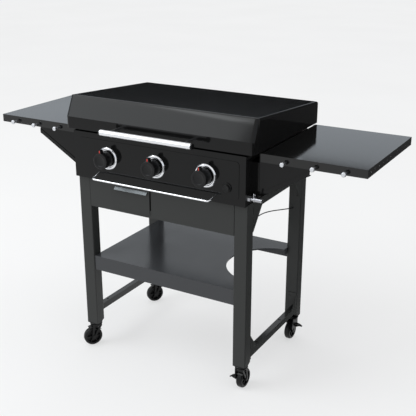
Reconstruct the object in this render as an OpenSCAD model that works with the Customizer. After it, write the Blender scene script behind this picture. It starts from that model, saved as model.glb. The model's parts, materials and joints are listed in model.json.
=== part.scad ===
// Outdoor gas griddle station: a covered steel griddle on a four-leg cart with side shelves.
// X runs across the front, -Y faces the cook, Z is up from the floor, in millimetres.

/* [Cooking plate] */
// Width of the cooking plate
plate_w = 711; // [690:1:760]
// Depth of the cooking plate, front to back
plate_d = 457; // [440:1:490]
// Thickness of the cooking plate
plate_t = 5; // [3:0.5:8]
// Height of the side and rear splash walls above the plate
splash_h = 50; // [30:1:60]
// Height of the low front wall above the plate
front_wall_h = 15; // [8:1:18]
// Thickness of the splash walls
splash_t = 2.5; // [2:0.5:3]
// Height of the feet that lift the plate off the firebox
foot_h = 5; // [3:0.5:8]
// Width of the grease slot at the front of the plate
slot_w = 60; // [40:1:80]

/* [Firebox] */
// Height of the firebox
fire_h = 146; // [140:1:160]
// How far the firebox stands out past each end of the plate
fire_margin = 29.5; // [24:0.5:40]
// Sheet thickness of the firebox
fire_t = 1.5; // [1:0.1:2]
// Width of the inward flange that carries the plate
fire_flange = 46; // [40:1:60]
// Outer radius of a burner tube
burner_r = 14; // [11:0.5:16]
// Wall of a burner tube
burner_t = 1.2; // [0.8:0.1:2]
// Pitch of the burner ports
port_pitch = 30; // [24:1:60]

/* [Lid] */
// Height of the lid's front strip above its lower edge
lid_strip_h = 43; // [30:1:60]
// Height of the lid's front slope
lid_slope_h = 74; // [40:1:80]
// Run of the lid's front slope, front to back
lid_slope_d = 35; // [30:1:80]
// Fall of the lid's top from the crease to the rear
lid_fall = 35; // [10:1:40]
// Sheet thickness of the lid
lid_t = 1.5; // [1:0.1:2]
// Bend radius of the lid's front corners
lid_corner_r = 14; // [10:1:30]
// Gap between the control panel and the lid
lid_gap = 8; // [6:1:12]
// Length of the lid's handle bar
bar_w = 384; // [300:1:460]
// Radius of the lid's handle bar
bar_r = 11; // [9:0.5:14]
// How far the handle bar's axis stands off the lid
bar_reach = 54; // [45:1:70]
// Distance between the two handle posts
post_pitch = 304; // [200:1:340]

/* [Control panel] */
// Height of the control panel
panel_h = 176; // [166:1:178]
// Sheet thickness of the control panel
panel_t = 1.2; // [0.8:0.1:1.6]
// Depth of the panel's return flanges
panel_return = 15; // [10:1:20]
// How far the pressed field stands proud of the panel
field_proud = 1.5; // [1:0.1:3]
// Space that the row of knobs leaves at each end of the cart's width
knob_end = 51; // [45:1:60]
// Radius of a knob
knob_r = 30.4; // [24:0.2:32]
// How far a knob's face stands off the panel
knob_reach = 46.7; // [36:0.1:50]
// Outer radius of a knob's bright ring
bezel_r = 42.3; // [38:0.1:46]
// Travel of a knob when it is pushed in
knob_travel = 3.5; // [2:0.5:4]
// Travel of the igniter button
button_travel = 4; // [2:0.5:5]
// Length of the front wire rail
rail_w = 494; // [400:1:560]
// Radius of the front wire rail
rail_r = 3.25; // [2.5:0.25:4]

/* [Cart] */
// Width of the cart over its legs
cart_w = 720; // [700:1:740]
// Depth of the cart over its legs
cart_d = 498; // [480:1:520]
// Width of a leg
leg_w = 52; // [44:1:60]
// Depth of a leg
leg_d = 45; // [40:1:52]
// Wall of a leg tube
leg_t = 1.5; // [1.2:0.1:2]
// Height of the cart's deck, where the legs end
deck_z = 729; // [700:1:760]
// Sheet thickness of aprons, rails and shelf
sheet_t = 1.5; // [1:0.1:2]
// Height of the front apron
apron_h = 119; // [110:1:130]
// Height of the lower shelf's top
shelf_z = 402; // [340:1:460]
// Height of the lower shelf's front lip
shelf_lip = 59; // [40:1:80]
// Radius of the tank notch in the lower shelf
notch_r = 169; // [150:1:175]
// How far the tank wire bows in from the legs
wire_bow = 75; // [60:1:80]
// Radius of the tank wire's two bends
wire_bend_r = 130; // [110:1:140]
// Radius of the tank wire
wire_r = 2; // [1.5:0.25:3]

/* [Grease drawer] */
// Width of the drawer's front
drawer_w = 150; // [130:1:160]
// Height of the drawer's front
drawer_h = 94; // [80:1:96]
// Depth of the drawer tray
tray_d = 226; // [180:1:260]

/* [Side shelves] */
// Width of a side shelf
side_w = 367; // [300:1:400]
// Height of the side shelves' top
side_z = 908; // [900:1:912]
// Height of a side shelf's apron
side_apron = 29; // [24:1:31]
// Reach of a hook in front of the shelf
hook_reach = 24; // [20:1:40]
// Distance between neighbouring hooks
hook_pitch = 105; // [70:1:110]

/* [Casters] */
// Diameter of a wheel
wheel_d = 75; // [60:1:80]
// Width of a wheel
wheel_w = 24; // [18:1:26]
// Offset of a wheel behind its swivel axis
trail = 16; // [10:1:20]
// Height of the caster from the floor to the leg
caster_h = 102.5; // [100:0.5:110]

/* [Hidden] */
$fn = 48;

// Clearances
run_gap = 0.05; // shaft in its bore, on the radius
slide_gap = 0.3; // between faces that pass each other
cut = 1; // how far a cut runs past a face

// Finishes
enamel = [0.04, 0.04, 0.04];
cart_grey = [0.2, 0.2, 0.2];
shelf_grey = [0.26, 0.26, 0.27];
bright = [0.85, 0.85, 0.86];
steel = [0.6, 0.6, 0.62];
dark_plastic = [0.06, 0.06, 0.06];
ceramic = [0.92, 0.9, 0.86];
brass = [0.75, 0.6, 0.3];

// Cart
leg_r = 4;
leg_x = (cart_w - leg_w) / 2;
leg_y = (cart_d - leg_d) / 2;
inner_x = cart_w / 2 - leg_w;
inner_y = cart_d / 2 - leg_d;
heel = [18, 9];

// Reaches along Y, measured from the middle of the cart
fire_y0 = -cart_d / 2 + 30;
panel_y = -cart_d / 2 - 18;
plate_y0 = fire_y0 + 9;
plate_y1 = plate_y0 + plate_d;
fire_y1 = plate_y1 - 7;
lid_y0 = panel_y - 4;
lid_y1 = plate_y1 + 13;
bar_y = lid_y0 - bar_reach;
// Shift that puts the middle of the whole station on the origin
cart_y = -(bar_y - bar_r + lid_y1) / 2;

// Firebox and plate
fire_x = plate_w / 2 + fire_margin;
fire_z1 = deck_z + fire_h;
plate_z = fire_z1 + foot_h;
plate_top = plate_z + plate_t;
plate_x = plate_w / 2;
slot_x = -114;
slot_y = plate_y0 + splash_t + 12;
slot_d = 14;
foot_r = 6;
air_hole_r = 10;
air_hole_ys = [for (k = [0:4]) fire_y0 + 99 + k * 80];
flange_front = 20; // depth of the flange in front of the opening, and behind it
fire_heel = [36, 26]; // slant along the firebox's two lower edges
chute_gap = 4; // how far the chute stands out past the slot's ends

// Lid and hinge
lid_x = fire_x + 3;
lid_z = deck_z - 2 + panel_h + lid_gap;
crease_z = lid_z + lid_strip_h + lid_slope_h;
crease_y = lid_y0 + lid_slope_d;
lid_edge_r = 8;
crease_rs = [2, 5]; // bend radii below and above the slope
hinge_y = plate_y1 + 6;
hinge_z = lid_z - 8;
hinge_x = 300;
hinge_pin_r = 3;
hinge_eye_r = 5;
hinge_leaf_w = 18;
hinge_leaf_h = 40;
hinge_ear_t = 3;
bar_z = lid_z + 18;
bar_t = 1.5;
post_z = bar_z + 4;
post_r = 5;
cap_w = 6;

// Control panel
panel_x = cart_w / 2 - 1;
panel_z0 = deck_z - 2;
panel_z1 = panel_z0 + panel_h;
panel_face = panel_y + field_proud;
field = [[-panel_x + 26, panel_x - 26], [panel_z0 + 23, panel_z1 - 22]];
field_r = 11;
knob_z = panel_z0 + 89;
knob_pitch = (cart_w / 2 - knob_end) * 2 / 3;
knob_xs = [-knob_pitch, 0, knob_pitch];
knob_hole_r = 9;
bezel_in_r = knob_r + 2.6;
bezel_h = 6;
knob_back = knob_travel + bezel_h - 1.5;
stem_r = 3;
plug_r = 6;
valve_r = 11;
valve_y0 = panel_y + field_proud + panel_t + 4;
valve_y1 = valve_y0 + 24;
nozzle_r = 4;
burner_y0 = fire_y0 - 12;
burner_y1 = fire_y1 - 40;
electrode_at = [26, 4]; // from the burner's axis, to the right and up
electrode_r = 3;
electrode_l = 46; // reach of the ceramic into the firebox
pipe_r = 8;
pipe_t = 1.5;
pipe_y = valve_y0 + 12;
pipe_z = knob_z - valve_r - pipe_r;
pipe_bend = 16;
inlet_z = panel_z0 + 28;
pipe_end = 24; // how far the pipe runs past the left valve
pipe_turn = 40; // from the right valve to the pipe's offset
inlet_reach = 54;
inlet_tip = 26; // length of the flare end
inlet_r = 7.9;
button_x = panel_x - 69;
button_z = panel_z0 + 59.5;
button_r = 12;
button_reach = 11;
igniter_r = 14;
igniter_rim_r = 17;
rail_root_z = panel_z0 + 29;
rail_reach = 46;
rail_drop = 12;
rail_bend = 12;

// Lower parts of the cart
rail_h = 28;
rear_apron_h = 69;
rail_lip = 22;
gusset = [66.5, 83];
low_bar = [22, 26];
low_bar_z = caster_h + 50.5;
low_tab = [38, 2];
low_tab_hole_r = 3;
low_slot_ys = [-132, 65];
low_slot_w = 5;
low_hole_ys = [-124, 93.5];
low_hole_r = 4;
shelf_y0 = -cart_d / 2 + 5;
shelf_y1 = cart_d / 2;
shelf_rim = 65;
shelf_dish = 4;
notch_rim = 4; // depth of the folded edge round the notch
tank = [cart_w / 2 - 31, 13];
tank_wire_z = 575;
wire_x = tank[0] - 2;
wire_in = 6;
wire_corner_r = 10;
wire_turn = 39; // angle between the wire's ends and its middle
wire_hole_r = wire_r + 0.3;

// Drawer
drawer_x0 = -188;
drawer_z0 = deck_z - 107;
drawer_gap = [1, 5]; // clearance of the drawer's front on its left and right
drawer_fold = 1; // how far the sheet's edges fold back
drawer_t = 1.2;
tray_x = [drawer_x0 + 10, drawer_x0 + drawer_w - 10];
tray_z = [drawer_z0 + 8, deck_z - 32];
tray_rim = 7;
runner_x = [tray_x[0] - tray_rim - 2, tray_x[1] + tray_rim + 2];
tray_y0 = -cart_d / 2 - 1.5;

// Side shelves
side_x0 = fire_x + 4;
side_x1 = side_x0 + side_w;
side_y0 = fire_y0;
side_y1 = fire_y1 + 3;
bracket_t = 2;
bracket_out = 179;
bracket_low = deck_z + 24;
bracket_mid = deck_z + 123;
bracket_end = deck_z + 128;
bracket_strip = 14;
hook_z = side_z - 21;
hook_x = fire_x + 90;
hook_cap_r = 8;
edge_hole_r = 3;
edge_hole_pitch = 40;
edge_holes = 11;

// Casters
axle_r = 4;
stem_pin_r = 5.5;
stem_pin_h = 30;
socket_flange = 3;
head_r = 25;
head_h = 9;
head_z = caster_h - socket_flange - slide_gap;
arm_t = 3;
arm_gap = 0.8;
arm_y = wheel_w / 2 + arm_gap;
hood_gap = 3;
lever_at = [-10, wheel_d / 2 + 14]; // pivot of the brake lever, seen from the side
lever_r = 4;
lever_w = 15;
lever_reach = 17; // from the pivot to the lever's end
lever_pin_r = 2;

// Basic forms

// Box between a low and a high value on each axis
module block(x, y, z) {
    translate([x[0], y[0], z[0]]) cube([x[1] - x[0], y[1] - y[0], z[1] - z[0]]);
}

// Round bars along each axis
module bar_along_x(x, y, z, r) {
    translate([x[0], y, z]) rotate([0, 90, 0]) cylinder(r = r, h = x[1] - x[0]);
}
module bar_along_y(x, y, z, r) {
    translate([x, y[0], z]) rotate([-90, 0, 0]) cylinder(r = r, h = y[1] - y[0]);
}
module bar_along_z(x, y, z, r) {
    translate([x, y, z[0]]) cylinder(r = r, h = z[1] - z[0]);
}

// Stands a drawing of (Y, Z) up and gives it width along X
module slab_x(x) {
    translate([x[0], 0, 0]) rotate([90, 0, 90]) linear_extrude(x[1] - x[0]) children();
}
// Stands a drawing of (X, Z) up and gives it depth along Y
module slab_y(y) {
    translate([0, y[1], 0]) rotate([90, 0, 0]) linear_extrude(y[1] - y[0]) children();
}
// Lays a drawing of (X, Y) flat and gives it height
module slab_z(z) {
    translate([0, 0, z[0]]) linear_extrude(z[1] - z[0]) children();
}

// Turned piece whose axis points at the cook
module turned(x, y, z) {
    translate([x, y, z]) rotate([90, 0, 0]) rotate_extrude() children();
}

module round_rect(x, y, r) {
    translate([x[0] + r, y[0]]) square([x[1] - x[0] - 2 * r, y[1] - y[0]]);
    translate([x[0], y[0] + r]) square([x[1] - x[0], y[1] - y[0] - 2 * r]);
    for (i = [x[0] + r, x[1] - r], j = [y[0] + r, y[1] - r]) translate([i, j]) circle(r = r);
}

module both_sides() {
    children();
    mirror([1, 0, 0]) children();
}

// Puts the left-hand twin of a right-hand piece in place
module hand(side) {
    mirror([side < 0 ? 1 : 0, 0, 0]) children();
}

// Round bar along a flat path: a step is [length], or [bend radius, angle] with left turns positive
module bent_bar(steps, r, i = 0) {
    if (i < len(steps)) {
        step = steps[i];
        if (len(step) == 1) {
            rotate([0, 90, 0]) cylinder(r = r, h = step[0]);
            translate([step[0], 0, 0]) bent_bar(steps, r, i + 1);
        } else {
            turn = sign(step[1]);
            sweep = abs(step[1]);
            start = turn > 0 ? -90 : 90 - sweep;
            translate([0, turn * step[0], 0]) {
                rotate([0, 0, start]) rotate_extrude(angle = sweep) translate([step[0], 0]) circle(r = r);
                rotate([0, 0, step[1]]) translate([0, -turn * step[0], 0]) bent_bar(steps, r, i + 1);
            }
        }
    }
}

// Moves a closed outline's edges inwards by t
function unit(v) = v / norm(v);
function edge_in(pts, i) = let (d = unit(pts[(i + 1) % len(pts)] - pts[i])) [-d[1], d[0]];
function inset(pts, t) = [
    for (i = [0:len(pts) - 1])
        let (
            before = edge_in(pts, (i + len(pts) - 1) % len(pts)),
            after = edge_in(pts, i),
            half = unit(before + after)
        )
        pts[i] + half * t / (half * after)
];

// Rounds the corners of a closed outline, each by its own radius
function corner(a, b, c, r, n) =
    let (
        u = unit(a - b),
        v = unit(c - b),
        half = acos(u * v) / 2,
        middle = b + unit(u + v) * r / sin(half),
        from = b + u * r / tan(half) - middle,
        turn = (180 - 2 * half) * sign(u[0] * v[1] - u[1] * v[0])
    )
    r == 0 ? [b] : [
        for (k = [0:n])
            let (w = -turn * k / n)
            middle + [from[0] * cos(w) - from[1] * sin(w), from[0] * sin(w) + from[1] * cos(w)]
    ];
function rounded(pts, radii, n = 6) = [
    for (i = [0:len(pts) - 1])
        for (p = corner(pts[(i + len(pts) - 1) % len(pts)], pts[i], pts[(i + 1) % len(pts)], radii[i], n)) p
];

// Cart frame

module leg(heel_side) {
    difference() {
        slab_z([caster_h, deck_z]) difference() {
            round_rect([-leg_w / 2, leg_w / 2], [-leg_d / 2, leg_d / 2], leg_r);
            leg_bore_outline(0);
        }
        heel_cut(heel_side);
    }
}
module leg_bore_outline(gap) {
    x = leg_w / 2 - leg_t - gap;
    y = leg_d / 2 - leg_t - gap;
    round_rect([-x, x], [-y, y], leg_r - leg_t);
}
// Slanted cut across the foot of a leg, on the side that faces the other leg
module heel_cut(heel_side) {
    edge = heel_side * leg_d / 2;
    low = caster_h - socket_flange - cut;
    slab_x([-leg_w, leg_w]) polygon([
        [edge + heel_side * cut, caster_h + heel[1] * (1 + cut / heel[0])],
        [edge - heel_side * (heel[0] + heel[0] / heel[1] * (caster_h - low)), low],
        [edge + heel_side * cut, low]
    ]);
}
module at_leg(sx, sy) {
    translate([sx * leg_x, sy * leg_y, 0]) children();
}
module leg_front(side) {
    color(cart_grey) difference() {
        at_leg(side, -1) leg(1);
        if (side > 0) wire_hole(-1);
    }
}
module leg_rear(side) {
    color(cart_grey) difference() {
        at_leg(side, 1) leg(-1);
        if (side > 0) wire_hole(1);
        if (side > 0) bar_along_y(leg_x + 9, [inner_y - cut, inner_y + leg_t + cut], deck_z - 100, 2.5);
    }
}
// Hole for the end of the tank wire, in the face of a right leg
module wire_hole(sy) {
    near = sy * (inner_y - cut);
    far = sy * (inner_y + leg_t + cut);
    bar_along_y(wire_x, [min(near, far), max(near, far)], tank_wire_z, wire_hole_r);
}

module front_apron() {
    y = -cart_d / 2;
    low = deck_z - apron_h;
    color(cart_grey) difference() {
        union() {
            block([-inner_x, inner_x], [y, y + sheet_t], [low, deck_z]);
            block([-inner_x, inner_x], [y, y + rail_lip], [deck_z - sheet_t, deck_z]);
            block([-inner_x, inner_x], [y, y + 12], [low, low + sheet_t]);
            both_sides() block([inner_x - sheet_t, inner_x], [y, y + rail_lip], [low, deck_z]);
        }
        slab_y([y - cut, y + sheet_t + cut])
            round_rect([drawer_x0 - drawer_gap[0], drawer_x0 + drawer_w + drawer_gap[1]],
                [drawer_z0 - drawer_gap[0], deck_z - 7], 1.5);
    }
}

module rear_apron() {
    y = cart_d / 2;
    low = deck_z - rear_apron_h;
    color(cart_grey) {
        block([-inner_x, inner_x], [y - sheet_t, y], [low, deck_z]);
        block([-inner_x, inner_x], [y - rail_lip, y], [deck_z - sheet_t, deck_z]);
        block([-inner_x, inner_x], [y - 12, y], [low, low + sheet_t]);
        both_sides() block([inner_x - sheet_t, inner_x], [y - rail_lip, y], [low, deck_z]);
    }
}

// Side rail with a gusset at each leg, folded in along its top and lower edges
module side_rail(side) {
    x = cart_w / 2;
    low = deck_z - rail_h;
    color(cart_grey) hand(side) {
        slab_x([x - sheet_t, x]) polygon([
            [-inner_y, deck_z], [-inner_y, low - gusset[1]], [-inner_y + gusset[0], low],
            [inner_y - gusset[0], low], [inner_y, low - gusset[1]], [inner_y, deck_z]
        ]);
        block([x - rail_lip, x], [-inner_y, inner_y], [deck_z - sheet_t, deck_z]);
        block([x - 12, x], [-inner_y + gusset[0], inner_y - gusset[0]], [low, low + sheet_t]);
    }
}

// Lower bar between a front and a rear leg: a square tube with an upright tab at each end
module lower_bar(side) {
    x = cart_w / 2;
    top = low_bar_z;
    low = low_bar_z - low_bar[1];
    tab_top = low + 85;
    color(cart_grey) hand(side) difference() {
        union() {
            for (z = [low, top - sheet_t]) block([x - low_bar[0], x], [-inner_y, inner_y], [z, z + sheet_t]);
            block([x - sheet_t, x], [-inner_y, inner_y], [low, top]);
            block([x - low_bar[0], x - low_bar[0] + sheet_t], [-inner_y, inner_y], [low, top]);
            for (s = [-1, 1]) mirror([0, s > 0 ? 1 : 0, 0]) {
                block([x - low_tab[0], x], [-inner_y, -inner_y + low_tab[1]], [low - 10, tab_top]);
                slab_x([x - sheet_t, x]) polygon([
                    [-inner_y, tab_top], [-inner_y, top - cut],
                     [-inner_y + 46, top - cut], [-inner_y + 46, top]
                ]);
            }
        }
        bar_along_y(x - low_tab[0] + 10, [-inner_y - cut, inner_y + cut], tab_top - 13, low_tab_hole_r);
        if (side > 0)
            for (y = low_slot_ys)
                block([x - low_bar[0] + 4, x - 4], [y - low_slot_w / 2, y + low_slot_w / 2],
                    [top - sheet_t - cut, top + cut]);
        else
            for (y = low_hole_ys)
                bar_along_z(x - low_bar[0] / 2, y, [top - sheet_t - cut, top + cut], low_hole_r);
    }
}

// Lower shelf: a dished panel with folded edges and a round notch for the gas tank
module lower_shelf() {
    y0 = shelf_y0;
    y1 = shelf_y1;
    x = inner_x;
    t = sheet_t;
    floor_z = shelf_z - shelf_dish;
    dish = [[-x + 18, x - t], [y0 + shelf_rim, y1 - 20]];
    color(shelf_grey) difference() {
        union() {
            difference() {
                block([-x, x], [y0, y1], [shelf_z - t, shelf_z]);
                block(dish[0], dish[1], [shelf_z - t - cut, shelf_z + cut]);
            }
            difference() {
                block([dish[0][0] - t, x], [dish[1][0] - t, dish[1][1] + t], [floor_z - t, shelf_z]);
                block(dish[0], dish[1], [floor_z, shelf_z + cut]);
            }
            block([-x, x], [y0, y0 + t], [shelf_z - shelf_lip, shelf_z]);
            block([-x, x], [y0, y0 + 12], [shelf_z - shelf_lip, shelf_z - shelf_lip + t]);
            block([-x, x], [y1 - t, y1], [shelf_z - 25, shelf_z]);
            both_sides() block([x - t, x], [y0, y1], [shelf_z - 25, shelf_z]);
            intersection() {
                bar_along_z(tank[0], tank[1], [floor_z - notch_rim, floor_z], notch_r + t);
                block([0, x], [y0, y1], [floor_z - notch_rim, floor_z]);
            }
        }
        bar_along_z(tank[0], tank[1], [shelf_z - shelf_lip, shelf_z + cut], notch_r);
    }
}

// Points along an arc, from one angle to another
function arc_points(middle, r, from, to, n) = [
    for (k = [0:n])
        let (w = from + (to - from) * k / n)
        middle + r * [cos(w), sin(w)]
];

// Round wire that follows a flat path, as one closed skin
module path_wire(pts, r, sides = 10) {
    last = len(pts) - 1;
    rings = [
        for (i = [0:last])
            let (
                along = unit(pts[min(i + 1, last)] - pts[max(i - 1, 0)]),
                across = [-along[1], along[0]]
            )
            for (k = [0:sides - 1])
                let (w = 360 * k / sides, p = pts[i] + across * r * cos(w))
                [p[0], p[1], r * sin(w)]
    ];
    skin = [
        for (i = [0:last - 1], k = [0:sides - 1])
            let (a = i * sides + k, b = i * sides + (k + 1) % sides)
            for (f = [[a, b, b + sides], [a, b + sides, a + sides]]) f
    ];
    ends = [
        [for (k = [0:sides - 1]) sides - 1 - k],
        [for (k = [0:sides - 1]) last * sides + k]
    ];
    polyhedron(rings, concat(skin, ends));
}

// Wire that keeps the tank in its place, bowed in between the two right legs
module tank_wire() {
    far_x = wire_x - wire_bow;
    bends = wire_bend_r + wire_corner_r;
    link = (wire_bow - bends * (1 - cos(wire_turn))) / sin(wire_turn);
    corner_y = inner_y - wire_r;
    bend_y = corner_y - bends * sin(wire_turn) - link * cos(wire_turn);
    half = concat(
        arc_points([far_x + wire_bend_r, bend_y], wire_bend_r, 180, 180 - wire_turn, 8),
        arc_points([wire_x - wire_corner_r, corner_y], wire_corner_r, -wire_turn, 0, 4),
        [[wire_x, inner_y + wire_in]]
    );
    last = len(half) - 1;
    front = [for (k = [0:last]) [half[last - k][0], -half[last - k][1]]];
    color(dark_plastic) translate([0, 0, tank_wire_z]) path_wire(concat(front, half), wire_r);
}

// Plastic plugs that close the legs and take the casters' stems
module caster_sockets() {
    color(dark_plastic) for (sx = [-1, 1], sy = [-1, 1]) at_leg(sx, sy) difference() {
        union() {
            slab_z([caster_h - socket_flange, caster_h])
                round_rect([-leg_w / 2, leg_w / 2], [-leg_d / 2, leg_d / 2], leg_r);
            slab_z([caster_h, caster_h + 38]) leg_bore_outline(0.1);
        }
        heel_cut(-sy);
        bar_along_z(0, 0, [caster_h - socket_flange - cut, caster_h + stem_pin_h + 2], stem_pin_r + run_gap);
    }
}

// Casters

function caster_turn(sx, sy) = sx < 0 ? 236 : (sy < 0 ? 90 : 270);

// Caster frame: the swivel axis is Z and the wheel trails along X
module at_caster(sx, sy) {
    at_leg(sx, sy) rotate([0, 0, caster_turn(sx, sy)]) children();
}

module caster_yoke(sx, sy, brake) {
    r = wheel_d / 2;
    out_y = arm_y + arm_t;
    top = head_z - head_h;
    color(dark_plastic) at_caster(sx, sy) {
        rotate_extrude() polygon([
            [0, top], [head_r - 3, top], [head_r, top + 3], [head_r, head_z - 2], [head_r - 2, head_z],
            [stem_pin_r, head_z], [stem_pin_r, caster_h + stem_pin_h - 1],
            [stem_pin_r - 1, caster_h + stem_pin_h],
            [0, caster_h + stem_pin_h]
        ]);
        for (s = [-1, 1]) {
            low = s > 0 ? arm_y : -out_y;
            slab_y([low, low + arm_t]) {
                polygon([
                    [-21, top + 1], [-21, r + 8], [trail - 10.5, r - 3], [trail + 10.5, r - 3],
                    [trail + 18, r + 14], [21, top + 1]
                ]);
                translate([trail, r]) circle(r = 11);
            }
            head = s > 0 ? out_y : -out_y - 2;
            bar_along_y(trail, [head, head + 2], r, 6.5);
        }
        bar_along_y(trail, [-out_y, out_y], r, axle_r);
        hood(r);
        if (brake) lever_ears(out_y);
    }
}
// Curved cover over the wheel, between the arms
module hood(r) {
    slab_y([-arm_y, arm_y]) translate([trail, r]) intersection() {
        difference() {
            circle(r = r + hood_gap + 2.5);
            circle(r = r + hood_gap);
        }
        polygon([[0, 0], [-36, 80], [34, 80]]);
    }
}
module lever_ears(out_y) {
    x = lever_at[0];
    z = lever_at[1];
    for (s = [-1, 1]) {
        near = x + s * (lever_w / 2 + slide_gap);
        far = near + s * 2.5;
        difference() {
            slab_x([min(near, far), max(near, far)]) {
                translate([out_y - 0.5, z - lever_r]) square([6.5, 2 * lever_r]);
                translate([out_y + 6, z]) circle(r = lever_r);
            }
            bar_along_x([min(near, far) - cut, max(near, far) + cut], out_y + 6, z, lever_pin_r + run_gap);
        }
    }
}
module brake_lever(sx, sy) {
    x = lever_at[0];
    y = arm_y + arm_t + 6;
    z = lever_at[1];
    half = lever_w / 2;
    color(dark_plastic) at_caster(sx, sy) {
        bar_along_x([x - half, x + half], y, z, lever_r);
        bar_along_x([x - half - slide_gap - 2.5, x + half + slide_gap + 2.5], y, z, lever_pin_r);
        intersection() {
            slab_x([x - half, x + half]) polygon([
                [y, z + lever_r], [y + lever_reach / 2, z + 3], [y + lever_reach, z - 3],
                [y + lever_reach, z - 6], [y + lever_reach / 2, z - 3], [y, z - lever_r]
            ]);
            slab_z([z - 10, z + 10]) polygon([
                [x - half, y - lever_r], [x + half, y - lever_r],
                [x + half, y], [x - half / 3, y + lever_reach],
                [x - half, y + lever_reach]
            ]);
        }
    }
}

// Wheel: hub, web with ribs, rim and a rounded tread in one moulding
module caster_wheel(sx, sy) {
    r = wheel_d / 2;
    w = wheel_w / 2;
    color(dark_plastic) at_caster(sx, sy) translate([trail, 0, r]) rotate([90, 0, 0]) difference() {
        union() {
            rotate_extrude() polygon([
                [0, -w], [9, -w], [9, -2], [r - 10, -2], [r - 10, -w + 1], [r - 4, -w], [r - 1, -w + 3],
                [r, -w + 6], [r, w - 6], [r - 1, w - 3], [r - 4, w],
                [r - 10, w - 1], [r - 10, 2], [9, 2], [9, w], [0, w]
            ]);
            for (a = [0:60:300]) rotate([0, 0, a]) block([8, r - 9], [-1.5, 1.5], [-w + 3, w - 3]);
        }
        translate([0, 0, -w - cut]) cylinder(r = axle_r + run_gap, h = wheel_w + 2 * cut);
    }
}

// Firebox, plate and burners

module firebox() {
    x = fire_x;
    t = fire_t;
    outline = [
        [-x, fire_z1], [-x, deck_z + fire_heel[1]], [-x + fire_heel[0], deck_z],
        [x - fire_heel[0], deck_z], [x, deck_z + fire_heel[1]], [x, fire_z1]
    ];
    color(enamel) difference() {
        slab_y([fire_y0, fire_y1]) polygon(outline);
        slab_y([fire_y0 + t, fire_y1 - t]) polygon(inset(outline, t));
        block([-x + fire_flange, x - fire_flange], [fire_y0 + flange_front, fire_y1 - flange_front],
              [fire_z1 - t - cut, fire_z1 + cut]);
        for (bx = knob_xs) {
            bar_along_y(bx, [fire_y0 - cut, fire_y0 + t + cut], knob_z, burner_r + slide_gap);
            bar_along_y(bx + electrode_at[0], [fire_y0 - cut, fire_y0 + t + cut], knob_z + electrode_at[1],
                electrode_r + slide_gap);
            for (y = air_hole_ys) bar_along_z(bx + 60, y, [deck_z - cut, deck_z + t + cut], air_hole_r);
        }
        block([slot_x - slot_w / 2 - chute_gap, slot_x + slot_w / 2 + chute_gap],
              [slot_y - 3, slot_y + slot_d + 3],
            [deck_z - cut, fire_z1 + cut]);
    }
}

module griddle_plate() {
    x = plate_x;
    y0 = plate_y0;
    y1 = plate_y1;
    t = splash_t;
    high = plate_top + splash_h;
    color(steel) difference() {
        union() {
            block([-x, x], [y0, y1], [plate_z, plate_top]);
            block([-x, x], [y0, y0 + t], [plate_z, plate_top + front_wall_h]);
            block([-x, x], [y1 - t, y1], [plate_z, high]);
            both_sides() slab_x([x - t, x]) polygon(rounded([
                [y0, plate_z], [y1, plate_z], [y1, high], [y0 + 70, high], [y0, plate_top + front_wall_h]
            ], [0, 0, 0, 12, 0]));
            both_sides() for (y = [y0 + 12, y1 - 20]) bar_along_z(x - 12, y, [fire_z1, plate_z], foot_r);
        }
        slab_z([plate_z - cut, plate_top + cut])
            round_rect([slot_x - slot_w / 2, slot_x + slot_w / 2],
                       [slot_y, slot_y + slot_d], slot_d / 2 - 1);
    }
}

// Funnel under the grease slot that leads down through the firebox to the drawer
module grease_chute() {
    x = slot_w / 2 + chute_gap - 1;
    t = 1;
    y = [slot_y - 2, slot_y + slot_d + 2];
    z = [tray_z[1] + 4, plate_z];
    color(steel) difference() {
        union() {
            block([slot_x - x, slot_x + x], y, z);
            block([slot_x - x - 8, slot_x + x + 8], [y[0] - 6, y[1] + 8],
                  [deck_z + fire_t, deck_z + fire_t + t]);
        }
        block([slot_x - x + t, slot_x + x - t], [y[0] + t, y[1] - t], [z[0] - cut, z[1] + cut]);
    }
}

module burners() {
    color(steel) for (bx = knob_xs) {
        difference() {
            bar_along_y(bx, [burner_y0, burner_y1], knob_z, burner_r);
            bar_along_y(bx, [burner_y0 - cut, burner_y1 - 2], knob_z, burner_r - burner_t);
            bar_along_z(bx, burner_y0 + 5, [knob_z, knob_z + burner_r + cut], 3);
            for (y = [fire_y0 + 50:port_pitch:burner_y1 - 20])
                bar_along_x([bx - burner_r - cut, bx + burner_r + cut], y, knob_z + 6, 1.5);
        }
        block([bx - 8, bx + 8], [burner_y1, fire_y1 - fire_t], [knob_z - 1, knob_z + 1]);
    }
}

module electrodes() {
    for (bx = knob_xs) {
        x = bx + electrode_at[0];
        z = knob_z + electrode_at[1];
        nose = fire_y0 + electrode_l;
        color(ceramic) {
            bar_along_y(x, [fire_y0 - 12, nose], z, electrode_r);
            bar_along_y(x, [fire_y0 - 3, fire_y0], z, electrode_r + 2.5);
            bar_along_y(x, [nose, nose + 14], z, 1);
        }
    }
}

// Control panel with its gas train

// Box behind the panel: two sides and a floor that carry it off the firebox
module valve_box() {
    x = panel_x - panel_t;
    y = [panel_face + panel_t, fire_y0];
    t = 1.2;
    color(enamel) difference() {
        union() {
            both_sides() block([x - t, x], y, [deck_z, panel_z1 - panel_t]);
            block([-x, x], y, [deck_z, deck_z + t]);
            both_sides() block([x - 14, x], [fire_y0 - t, fire_y0], [deck_z, panel_z1 - 30]);
        }
        bar_along_x([x - t - cut, x + cut], pipe_y, inlet_z, pipe_r + slide_gap);
    }
}

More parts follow.
